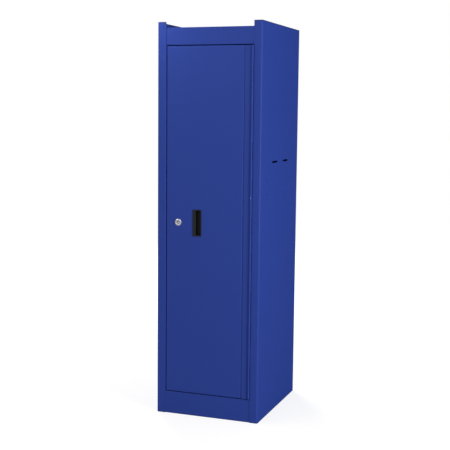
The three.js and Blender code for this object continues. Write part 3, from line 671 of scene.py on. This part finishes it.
def side_panel(side, edge, node, name):
    """Folded wall: rear flange, wall, front corner, post, return of the door opening and stop lip, carried
    up Z. Above and below the opening the post's fold is laid flat as a tab, and the return and the lip are
    left off."""
    line = folded_line([
        [side * (half_width - REAR_FLANGE), back - HALF_SHEET],
        [side * (half_width - HALF_SHEET), back - HALF_SHEET],
        [side * (half_width - HALF_SHEET), front + HALF_SHEET],
        [edge + side * HALF_SHEET, front + HALF_SHEET],
        [edge + side * HALF_SHEET, stop_back - HALF_SHEET],
        [edge - side * STOP_LIP, stop_back - HALF_SHEET],
    ], {FRONT_FOLD: CORNER_BEND})
    cuts = wall_cuts()
    cut_columns, cut_rows = (np.concatenate(lines) for lines in zip(*(slot_lines(*cut) for cut in cuts)))
    on_wall, on_post = line["place"] == WALL_RUN, line["place"] == POST_RUN
    columns = np.interp(-cut_columns, -line["points"][on_wall, 1], line["length"][on_wall])
    from_edge = np.abs(line["points"][on_post, 0] - edge)
    ear_columns = np.interp(-EAR_COLUMNS, -from_edge, line["length"][on_post])
    line = with_columns(line, np.concatenate([columns, ear_columns]))
    low_rows = np.array([0, EDGE_BAND, sill_top - EDGE_BAND, sill_top])
    opening_ends = [sill_top, sill_top + EDGE_BAND, header_bottom - EDGE_BAND, header_bottom]
    middle_rows = grid_lines(opening_ends, cut_rows)
    ear_rows = height - EAR_RADIUS * (1 - np.sin(QUARTER_TURN))
    high_rows = np.concatenate([[header_bottom, header_bottom + EDGE_BAND], ear_rows])
    rows = np.concatenate([low_rows, middle_rows, high_rows])
    bent = np.repeat([False, True, False], [len(low_rows), len(middle_rows), len(high_rows)])
    points, normals = carried(line, rows, "z")
    place = line["place"]
    share = np.where(place == POST_FOLD, line["share"], 0)
    tab = (place == POST_FOLD)[:, None] & ~bent[None, :]
    tab_x = edge + side * FOLD * (1 - share)
    points[..., 0] = np.where(tab, tab_x[:, None], points[..., 0])
    points[..., 1] = np.where(tab, front + HALF_SHEET, points[..., 1])
    normals[tab] = normals[np.argmax(place == POST_RUN)][0]
    # A row of cells runs on past the fold in the opening, to the tab's edge above and below it, and only to
    # the fold's start where the two meet
    beyond = 2.0
    passed = np.where(place > POST_FOLD, beyond, share)
    in_opening, where_they_meet = bent[:-1] & bent[1:], bent[:-1] != bent[1:]
    reach = np.where(in_opening, beyond, np.where(where_they_meet, 0.0, 1.0))
    keep = passed[1:, None] <= reach[None, :]
    first, last = np.flatnonzero(place == WALL_RUN)[[0, -1]]
    wall = slice(first, last + 1)
    for cut in cuts:
        cut_slot(points[wall], keep[first:last], line["points"][wall, 1], rows, (1, 2), *cut)
    round_ear(points, edge, side)
    finish_piece(name, [sheet_faces(points, normals, keep)], "cabinet", node)


def wall_cuts():
    """Slots and bolt holes of a side wall, each as its centre in Y and Z, its half length and its radius. A
    hole is a slot of no length."""
    slot_z, slot_radius = height - SLOT_FROM_TOP, SLOT_HEIGHT / 2
    bolt_y, bolt_z = front + SIDE_BOLT_FROM_FRONT, slot_z - SIDE_BOLT_BELOW_SLOT
    slots = [((shell_middle + end * SLOT_SPACING / 2, slot_z), SLOT_LENGTH / 2 - slot_radius, slot_radius)
             for end in (-1, 1)]
    return slots + [((bolt_y, bolt_z - row * SIDE_BOLT_SPACING), 0.0, SIDE_BOLT_HOLE / 2) for row in (0, 1)]


def round_ear(points, edge, side):
    """Rounds the top inner corner of a post: points on its two edges move to an arc about the corner's
    centre."""
    on_face = np.abs(points[..., 1] - front - HALF_SHEET) < TINY
    centre_x, centre_z = edge + side * EAR_RADIUS, height - EAR_RADIUS
    dx, dz = points[..., 0] - centre_x, points[..., 2] - centre_z
    near = on_face & (-side * dx >= -TINY) & (dz >= -TINY)
    border = near & ((np.abs(dx) >= EAR_RADIUS - TINY) | (dz >= EAR_RADIUS - TINY))
    stretch = EAR_RADIUS / np.maximum(np.hypot(dx, dz), TINY)
    points[..., 0] = np.where(border, centre_x + dx * stretch, points[..., 0])
    points[..., 2] = np.where(border, centre_z + dz * stretch, points[..., 2])


def front_rail(node, name, flange, outer_z, opening_z):
    """Channel of a front rail carried along X: flange, face lapped behind the posts, return of the door
    opening and stop lip. At both ends the return stops short of the posts' returns, and the stop lip short
    of the posts' lips."""
    low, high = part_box(node)
    inward = math.copysign(1, opening_z - outer_z)
    line = folded_line([
        [rail_face + flange, outer_z + inward * HALF_SHEET],
        [rail_face + HALF_SHEET, outer_z + inward * HALF_SHEET],
        [rail_face + HALF_SHEET, opening_z - inward * HALF_SHEET],
        [stop_back - HALF_SHEET, opening_z - inward * HALF_SHEET],
        [stop_back - HALF_SHEET, opening_z + inward * STOP_LIP],
    ])
    return_ends = np.array([latch_edge + FIT, hinge_edge - FIT])
    lip_ends = return_ends + np.array([STOP_LIP, -STOP_LIP])
    ends = [low.x, low.x + EDGE_BAND, high.x - EDGE_BAND, high.x]
    stations = np.sort(np.concatenate([ends, return_ends, lip_ends]))
    points, normals = carried(line, stations, "x")
    middles = between(stations)
    keep = every_cell(points)
    for fold, (first, last) in ((RETURN_FOLD, return_ends), (LIP_FOLD, lip_ends)):
        past_end = (middles < first) | (middles > last)
        keep &= ~((line["place"][:-1] >= fold)[:, None] & past_end[None, :])
    finish_piece(name, [sheet_faces(points, normals, keep)], "cabinet", node)


side_panel(-1, latch_edge, "left_side_panel", "left_wall_sheet")
side_panel(1, hinge_edge, "right_side_panel", "right_wall_sheet")
front_rail("header_rail", "header_sheet", HEADER_FLANGE, header_top, header_bottom)
front_rail("sill_rail", "sill_sheet", SILL_FLANGE, 0.0, sill_top)


# Shelves and standards


def shelf_sheet(level):
    """Deck with front and rear edges folded down and hemmed back, carried along X."""
    node = "shelf_" + level
    low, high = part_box(node)
    line = folded_line([
        [low.y + SHELF_HEM, low.z + HALF_SHEET],
        [low.y + HALF_SHEET, low.z + HALF_SHEET],
        [low.y + HALF_SHEET, high.z - HALF_SHEET],
        [high.y - HALF_SHEET, high.z - HALF_SHEET],
        [high.y - HALF_SHEET, low.z + HALF_SHEET],
        [high.y - SHELF_HEM, low.z + HALF_SHEET],
    ])
    stations = [low.x, low.x + EDGE_BAND, 0, high.x - EDGE_BAND, high.x]
    points, normals = carried(line, stations, "x")
    sheet = sheet_faces(points, normals, every_cell(points))
    finish_piece("shelf_sheet_" + level, [sheet], "cabinet", node)


def standard_strip(corner):
    """Slotted channel carried up Z, its open side to the wall. The slots are cells left off the face."""
    node = "shelf_standard_" + corner
    low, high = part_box(node)
    side = math.copysign(1, low.x)
    face, wall = (low.x, high.x) if side > 0 else (high.x, low.x)
    line = folded_line([
        [wall, low.y + HALF_SHEET],
        [face + side * HALF_SHEET, low.y + HALF_SHEET],
        [face + side * HALF_SHEET, high.y - HALF_SHEET],
        [wall, high.y - HALF_SHEET],
    ])
    middle = (low.y + high.y) / 2
    on_face = line["place"] == STANDARD_FACE_RUN
    slot_edges = middle + np.array([-1, 1]) * STANDARD_SLOT_WIDTH / 2
    line = with_columns(line, np.interp(slot_edges, line["points"][on_face, 1], line["length"][on_face]))
    count = int((high.z - low.z) / STANDARD_PITCH)
    middles = low.z + (np.arange(count) + 0.5) * STANDARD_PITCH
    slot_rows = (middles[:, None] + np.array([-1, 1]) * STANDARD_SLOT_HEIGHT / 2).ravel()
    rows = np.concatenate([[low.z, low.z + EDGE_BAND], slot_rows, [high.z - EDGE_BAND, high.z]])
    points, normals = carried(line, rows, "z")
    on_face = line["place"] == STANDARD_FACE_RUN
    in_slot = on_face[:-1] & on_face[1:]
    in_slot &= np.abs(between(line["points"][:, 1]) - middle) < STANDARD_SLOT_WIDTH / 2
    keep = every_cell(points)
    keep[:, 2:-2:2] = ~in_slot[:, None]
    finish_piece("standard_strip_" + corner, [sheet_faces(points, normals, keep)], "cabinet", node)


for shelf_level in ("lower", "middle", "upper"):
    shelf_sheet(shelf_level)
for standard_corner in ("front_left", "front_right", "rear_left", "rear_right"):
    standard_strip(standard_corner)


# Continuous hinge


def hinge_leaf(width, first, turn, node, name, body, finish=None):
    """Leaf rolled from one strip: its section runs straight to the barrel and then round it, carried up Z.
    The roll is kept only where this leaf has knuckles: every other one, from the first. turn is the leaf's
    angle about the pin, in whole quarter turns."""
    radius = HINGE_BARREL / 2 - HINGE_LEAF / 2
    plate_end = -HINGE_BARREL / 2 - KNUCKLE_RELIEF
    straight = np.array([-width, -width + EDGE_BAND, plate_end - EDGE_BAND, plate_end])
    angles = math.pi / 2 - np.linspace(0, CURL, CURL_STEPS + 1)
    curl = np.column_stack([np.cos(angles), np.sin(angles)])
    plate = np.column_stack([straight, np.full(len(straight), radius)])
    upright = np.tile([0.0, 1.0], (len(straight), 1))
    cos, sin = round(math.cos(turn)), round(math.sin(turn))
    spin = np.array([[cos, sin], [-sin, cos]])
    line = {"points": np.concatenate([plate, curl * radius]) @ spin + [hinge_x, hinge_y],
            "normals": np.concatenate([upright, curl]) @ spin}
    pitch = (leaf_high.z - leaf_low.z) / KNUCKLE_COUNT
    edges = leaf_low.z + np.arange(KNUCKLE_COUNT + 1) * pitch
    gaps = (edges[1:-1, None] + np.array([-1, 1]) * KNUCKLE_GAP / 2).ravel()
    rows = np.concatenate([edges[:1], gaps, edges[-1:]])
    own = np.zeros(len(rows) - 1, bool)
    own[0::2] = np.arange(KNUCKLE_COUNT) % 2 == first
    points, grid_normals = carried(line, rows, "z")
    keep = every_cell(points)
    keep[len(straight) - 1:] = own[None, :]
    finish_piece(name, [sheet_faces(points, grid_normals, keep, HINGE_LEAF)], body, node, finish)


def hinge_pin():
    """Turned wire with chamfered ends."""
    radius = (pin_high.x - pin_low.x) / 2
    profile = [[0, pin_low.z], [radius - FIT, pin_low.z], [radius, pin_low.z + FIT],
               [radius, pin_high.z - FIT], [radius - FIT, pin_high.z], [0, pin_high.z]]
    wire = turned(profile, (hinge_x, hinge_y, 0), "z", PIN_STEPS)
    finish_piece("hinge_pin_wire", [wire], "cabinet", "hinge_pin")


frame_leaf_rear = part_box("hinge_frame_leaf")[1].y
hinge_leaf(hinge_x - leaf_low.x, 1, 0.0, "hinge_door_leaf", "door_leaf_rolled", "door", door_paint)
hinge_leaf(frame_leaf_rear - hinge_y, 0, -math.pi / 2, "hinge_frame_leaf", "frame_leaf_rolled", "cabinet")
hinge_pin()


# Door


def door_pan():
    """Door skin as a pan. Its face is a grid in X and Z with the lock hole, the pull's cut-out and a joggle
    on the hinge side. Its edge is a skirt round the face: each border point moves straight out, round the
    front fold, back along the edge, round the rear fold and in along the lip, and returns on the inside."""
    low = np.array([skin_low.x, skin_low.z]) + DOOR_CORNER
    high = np.array([skin_high.x, skin_high.z]) - DOOR_CORNER
    step_x = leaf_low.x - HINGE_GROOVE
    lock_hole = (lock_x, lock_z), 0.0, LOCK_BARREL / 2 + FIT
    lock_columns, lock_rows = slot_lines(*lock_hole)
    cut_low = np.array([pull_low.x, pull_low.z]) + PULL_FLANGE - FIT
    cut_high = np.array([pull_high.x, pull_high.z]) - PULL_FLANGE + FIT
    joggle = step_x + np.linspace(-0.5, 0.5, JOGGLE_STEPS + 1) * LEAF_JOGGLE
    ends = np.stack([low, low + EDGE_BAND, cut_low, cut_high, high - EDGE_BAND, high])
    joggle_bands = [joggle[0] - EDGE_BAND, joggle[-1] + EDGE_BAND]
    columns = grid_lines(ends[:, 0], lock_columns, joggle, joggle_bands)
    rows = grid_lines(ends[:, 1], lock_rows)
    x, z = np.meshgrid(columns, rows, indexing="ij")
    points = np.stack([x, np.full(x.shape, front + HALF_SHEET), z], 2)
    normals = np.tile([0.0, -1.0, 0.0], (*x.shape, 1))
    middle_x, middle_z = between(columns), between(rows)
    cut_x = (middle_x > cut_low[0]) & (middle_x < cut_high[0])
    cut_z = (middle_z > cut_low[1]) & (middle_z < cut_high[1])
    keep = ~(cut_x[:, None] & cut_z[None, :])
    cut_slot(points, keep, columns, rows, (0, 2), *lock_hole)
    face = sheet_faces(points, normals, keep, rim_at_border=False)
    skirt = door_skirt(columns, rows, low, high)
    shapes = [set_back(shape, step_x) for shape in (face, skirt)]
    finish_piece("door_pan", shapes, "door", "door_skin", door_paint)


def door_skirt(columns, rows, low, high):
    """Skirt of the door pan: border points of the face, with each corner repeated along a quarter turn,
    times the stations of the sheet's section."""
    sides = [(np.column_stack([columns, np.full(len(columns), low[1])]), -math.pi / 2),
             (np.column_stack([np.full(len(rows), high[0]), rows]), 0.0),
             (np.column_stack([columns[::-1], np.full(len(columns), high[1])]), math.pi / 2),
             (np.column_stack([np.full(len(rows), low[0]), rows[::-1]]), math.pi)]
    base, angle = [], []
    corner = QUARTER_TURN[1:-1]
    for border, facing in sides:
        base += [border, np.repeat(border[-1:], len(corner), 0)]
        angle += [np.full(len(border), facing), facing + corner]
    base, angle = np.concatenate(base), np.concatenate(angle)
    outward = np.column_stack([np.cos(angle), np.sin(angle)])
    cos, sin = np.cos(QUARTER_TURN), np.sin(QUARTER_TURN)
    rear = skin_high.y
    flat, lip_end = DOOR_CORNER - FOLD, DOOR_CORNER - DOOR_LIP
    front_bend, rear_bend = front + FOLD, rear - FOLD
    stations = np.concatenate([
        [[0.0, front], [flat, front]],
        np.column_stack([flat + FOLD * sin, front + FOLD * (1 - cos)]),
        [[DOOR_CORNER, front_bend + EDGE_BAND], [DOOR_CORNER, rear_bend - EDGE_BAND]],
        np.column_stack([flat + FOLD * cos, rear_bend + FOLD * sin]),
        [[lip_end, rear], [lip_end, rear - SHEET]],
        np.column_stack([flat + BEND * sin, rear_bend + BEND * cos]),
        np.column_stack([flat + BEND * cos, front_bend - BEND * sin]),
        [[0.0, front + SHEET]],
    ])
    out, depth = stations[:, :1, None], stations[:, 1:, None]
    grown = base[None] + outward[None] * np.maximum(out, 0)
    inset = np.maximum(-out, 0)
    lowest = np.where(inset > 0, low + inset, -np.inf)
    highest = np.where(inset > 0, high - inset, np.inf)
    grown = np.clip(grown, lowest, highest)
    points = np.concatenate([grown[..., :1], np.repeat(depth, len(base), 1), grown[..., 1:]], 2)
    return points.reshape(-1, 3), [band_quads(numbered(points.shape))]


def set_back(shape, step_x):
    """Sets the hinge side of the door back by the leaf and its fit: a smooth step in X, full at the front
    skin and fading out along the edge towards the back."""
    points, faces = shape
    share = np.clip((points[:, 0] - step_x) / LEAF_JOGGLE + 0.5, 0, 1)
    smooth = share * share * (3 - 2 * share)
    edge_depth = skin_high.y - 2 * FOLD - EDGE_BAND - front
    fade = np.clip((skin_high.y - FOLD - points[:, 1]) / edge_depth, 0, 1)
    moved = points.copy()
    moved[:, 1] += (HINGE_LEAF + FIT) * smooth * fade
    return moved, faces


def stiffener():
    """Hat channel inside the door, carried up Z."""
    low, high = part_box("door_stiffener")
    middle, half = (low.x + high.x) / 2, STIFFENER_CROWN / 2
    face, crown = low.y + HALF_SHEET, high.y - HALF_SHEET
    line = folded_line([[low.x, face], [middle - half, face], [middle - half, crown],
                        [middle + half, crown], [middle + half, face], [high.x, face]])
    points, normals = carried(line, [low.z, low.z + EDGE_BAND, high.z - EDGE_BAND, high.z], "z")
    sheet = sheet_faces(points, normals, every_cell(points))
    finish_piece("stiffener_hat", [sheet], "door", "door_stiffener")


door_pan()
stiffener()


# Recessed pull and lock


def pull_moulding():
    """Moulded cup as one skin through a stack of rounded rectangles, from the pocket's floor up under the
    grip lip, out of the mouth, over the rim's rounded edge, and down the outside to the back. Each part of
    the section gives its inset from the rim, the grip's reach and its depth."""
    wall = PULL_FLANGE + PULL_WALL
    face, rear = pull_low.y, pull_high.y
    grip_back = face + PULL_GRIP_THICKNESS
    cos, sin = np.cos(QUARTER_TURN), np.sin(QUARTER_TURN)
    lip_turn = np.linspace(0, math.pi / 2, 3)
    lip_depth = (PULL_GRIP_THICKNESS - PULL_EDGE) * lip_turn / (math.pi / 2)
    section = [
        (wall + PULL_FLOOR_ROUND * (1 - sin), 0.0, rear - PULL_WALL - PULL_FLOOR_ROUND * (1 - cos)),
        (wall, 0.0, np.array([grip_back + EDGE_BAND, grip_back])),
        (wall - PULL_EDGE * (1 - np.cos(lip_turn)), PULL_GRIP, grip_back - lip_depth),
        (wall - PULL_EDGE - PULL_EDGE * (1 - cos[1:]), PULL_GRIP, face + PULL_EDGE * (1 - sin[1:])),
        (PULL_EDGE * (1 - sin), 0.0, face + PULL_EDGE * (1 - cos)),
        (np.array([0.0, PULL_FLANGE]), 0.0, front - FIT),
        (PULL_FLANGE + PULL_EDGE * (1 - cos), 0.0, rear - PULL_EDGE * (1 - sin)),
    ]
    inset, grip, depth = np.concatenate([np.stack(np.broadcast_arrays(*part)) for part in section], 1)
    loops = rounded_loops(pull_low.x + inset + grip, pull_high.x - inset, pull_low.z + inset,
                          pull_high.z - inset, PULL_RADIUS)
    finish_piece("pull_moulding", [stacked_loops(loops, depth)], "door", "handle_cup")


def lock_bezel():
    """Turned lock cylinder. Its bezel is an arch from the bore out to the rim, with a rounded outer edge."""
    rim, barrel = (lock_high.x - lock_low.x) / 2, LOCK_BARREL / 2
    bore, crown = barrel - LOCK_WALL, rim - LOCK_CHAMFER
    face, rear, seat = lock_low.y, lock_high.y, front - FIT
    outer_edge = np.column_stack([crown + LOCK_CHAMFER * np.cos(QUARTER_TURN),
                                  face + LOCK_ARCH + LOCK_CHAMFER * (1 - np.sin(QUARTER_TURN))])
    across = np.linspace(1, -1, 2 * ARC_STEPS + 1)[1:]
    middle, half = (crown + bore) / 2, (crown - bore) / 2
    arch = np.column_stack([middle + half * across, face + LOCK_ARCH * across ** 2])
    back_end = [[bore, rear], [barrel - FIT, rear], [barrel, rear - FIT], [barrel, seat], [rim, seat]]
    cylinder = turned(np.concatenate([back_end, outer_edge, arch]), (lock_x, 0, lock_z), "y")
    finish_piece("lock_bezel", [cylinder], "door", "lock_body")


def lock_core():
    """Turned plug with a ring-shaped keyway round a pin, a collar, and a stud for the cam. A notch widens
    the keyway's outer wall at the top."""
    low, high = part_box("lock_plug")
    cam_low, cam_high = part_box("lock_cam")
    plug = LOCK_BARREL / 2 - LOCK_WALL - FIT
    outer = plug - PLUG_WALL
    inner = outer - KEYWAY_WIDTH
    floor = low.y + KEYWAY_DEPTH
    collar = (high.x - low.x) / 2
    collar_back = cam_low.y - FIT
    collar_front = collar_back - PLUG_COLLAR_THICKNESS
    seat, stud = CAM_SQUARE / 2, CAM_STUD / 2
    profile = np.array([
        [0, low.y], [inner - FIT, low.y], [inner, low.y + FIT], [inner, floor], [outer, floor],
        [outer, low.y + FIT], [outer + FIT, low.y], [plug - FIT, low.y], [plug, low.y + FIT],
        [plug, collar_front], [collar, collar_front], [collar, collar_back], [seat, collar_back],
        [seat, cam_high.y], [stud, cam_high.y], [stud, high.y - FIT], [stud - FIT, high.y], [0, high.y],
    ])
    notched = (np.abs(profile[:, 0] - outer) <= FIT + TINY) & (profile[:, 1] <= floor + TINY)

    def notch(angles):
        inside = np.abs(angles - math.pi / 2) <= KEY_NOTCH_HALF_ANGLE
        return np.where(notched[:, None] & inside[None, :], KEY_NOTCH, 0.0)

    plug_shape = turned(profile, (lock_x, 0, lock_z), "y", swell=notch)
    finish_piece("lock_core", [plug_shape], "lock", "lock_plug", plug_metal(inner))


pull_moulding()
lock_bezel()
lock_core()


# Studio: floor, white surroundings, soft light and the camera


def stage_sheet(name, points, material):
    """Thin sheet of the studio on a grid of points."""
    quads = cells(numbered(points.shape)).reshape(-1, 4)
    mesh = bpy.data.meshes.new(name)
    mesh.from_pydata(points.reshape(-1, 3).tolist(), [], quads.tolist())
    mesh.materials.append(material)
    sheet = bpy.data.objects.new(name, mesh)
    bpy.context.scene.collection.objects.link(sheet)
    return sheet


def seen_directly(made):
    """One for camera, glossy and transmission rays, and nought for the rest."""
    path = made.add("ShaderNodeLightPath").outputs
    first = made.math("MAXIMUM", path["Is Camera Ray"], path["Is Glossy Ray"])
    return made.math("MAXIMUM", first, path["Is Transmission Ray"])


def studio_floor():
    """Level sheet under the locker, a grid of two by two cells. To the eye it glows, more so further out, so
    that it runs into the white surroundings and still shows the locker's shadow."""
    lines = FLOOR_REACH * np.array([-1.0, 0.0, 1.0])
    x, y = np.meshgrid(lines, lines, indexing="ij")
    material, made, shader, vector = started("studio_white")
    made.set(shader, "Base Color", made.mix(made.noise(vector, 0.7), FLOOR_GREY, FLOOR_PALE))
    made.set(shader, "Roughness", 0.9)
    made.set(shader, "Specular IOR Level", 0.0)
    strength = made.span(made.length(vector), *FLOOR_FADE, *FLOOR_GLOW)
    glow = made.add("ShaderNodeEmission", Strength=made.math("MULTIPLY", seen_directly(made), strength))
    both = made.add("ShaderNodeAddShader")
    made.filled(both, (0, 1), (shader.outputs[0], glow.outputs[0]))
    made.set(material.node_tree.nodes["Material Output"], "Surface", both.outputs[0])
    stage_sheet("studio_floor", np.stack([x, y, np.zeros(x.shape)], 2), material)


def white_surroundings():
    """White to the eye and in reflections, and a dimmer sky as light."""
    world = bpy.data.worlds.new("studio_world")
    world.use_nodes = True
    world.node_tree.nodes.clear()
    made = Nodes(world.node_tree)
    plain = made.add("ShaderNodeBackground", Color=WHITE, Strength=1.0)
    light = made.add("ShaderNodeBackground", Color=SKY_TINT, Strength=SKY_LIGHT)
    mixed = made.add("ShaderNodeMixShader")
    made.filled(mixed, range(3), (seen_directly(made), light.outputs[0], plain.outputs[0]))
    made.add("ShaderNodeOutputWorld", Surface=mixed.outputs[0])
    bpy.context.scene.world = world


def softbox(name, place, aim, size, power, tint=WHITE[:3], reflected=True):
    """Round lamp that faces a point, with or without its picture in glossy surfaces."""
    lamp = bpy.data.lights.new(name, "AREA")
    lamp.shape = "DISK"
    lamp.size = size
    lamp.energy = power
    lamp.color = tint
    box = bpy.data.objects.new(name, lamp)
    box.location = place
    box.visible_glossy = reflected
    box.visible_camera = False
    box.rotation_euler = (Vector(aim) - Vector(place)).to_track_quat("-Z", "Y").to_euler()
    bpy.context.scene.collection.objects.link(box)


def dark_flag():
    """Dark cloth behind the locker on its right, a section carried along X: it hangs down, turns in a
    quarter circle and runs forward along the floor. Only reflections see it, so that the painted side keeps
    its colour at a low angle."""
    sweep = np.column_stack([FLAG_BACK - FLAG_CURVE * (1 - np.cos(QUARTER_TURN)),
                             FLAG_LIFT + FLAG_CURVE * (1 - np.sin(QUARTER_TURN))])
    section = np.concatenate([[[FLAG_BACK, FLAG_TOP]], sweep, [[FLAG_FRONT, FLAG_LIFT]]])
    points = np.stack([np.insert(section, 0, x, axis=1) for x in FLAG_SIDES], 1)
    material, made, shader, vector = started("flag_cloth")
    made.set(shader, "Base Color", made.mix(made.noise(vector, 300.0), CLOTH_DARK, CLOTH_PALE))
    made.set(shader, "Roughness", 1.0)
    made.set(shader, "Specular IOR Level", 0.0)
    flag = stage_sheet("dark_flag", points, material)
    flag.visible_camera = False
    flag.visible_diffuse = False
    flag.visible_shadow = False


def studio_camera():
    """Camera from its place, its heading to the left of +Y, its pitch and its roll."""
    heading, pitch, roll = (math.radians(angle) for angle in (CAMERA_HEADING, CAMERA_PITCH, CAMERA_ROLL))
    forward = Vector((-math.sin(heading) * math.cos(pitch), math.cos(heading) * math.cos(pitch),
                      math.sin(pitch)))
    level = Vector((math.cos(heading), math.sin(heading), 0))
    upright = level.cross(forward)
    right = level * math.cos(roll) + upright * math.sin(roll)
    up = upright * math.cos(roll) - level * math.sin(roll)
    lens = bpy.data.cameras.new("studio_camera")
    lens.lens = CAMERA_LENS
    lens.sensor_width = CAMERA_SENSOR
    lens.clip_end = CAMERA_REACH
    camera = bpy.data.objects.new("studio_camera", lens)
    turn = Matrix((right, up, -forward)).transposed().to_4x4()
    camera.matrix_world = Matrix.Translation(CAMERA_PLACE) @ turn
    bpy.context.scene.collection.objects.link(camera)
    bpy.context.scene.camera = camera


studio_floor()
white_surroundings()
softbox("front_softbox", (-2.2, -2.8, 2.1), aim=(0, -0.25, 1.0), size=1.4, power=19.0, tint=WARM_LIGHT)
softbox("fill_softbox", (0.3, -4.2, 2.4), aim=(0, 0, 1.0), size=1.6, power=29.0, tint=WARM_LIGHT)
softbox("corner_softbox", (-0.42, -0.45, 1.8), aim=(-0.2, -0.25, 1.5), size=0.2, power=2.0)
softbox("side_softbox", (3.7, -1.9, 1.3), aim=(0.2, 0, 0.7), size=2.0, power=158.0)
softbox("rear_softbox", (-2.4, 3.4, 2.4), aim=(0, 0.25, 0.8), size=2.0, power=125.0, reflected=False)
dark_flag()
studio_camera()
bpy.context.scene.view_settings.view_transform = "Standard"
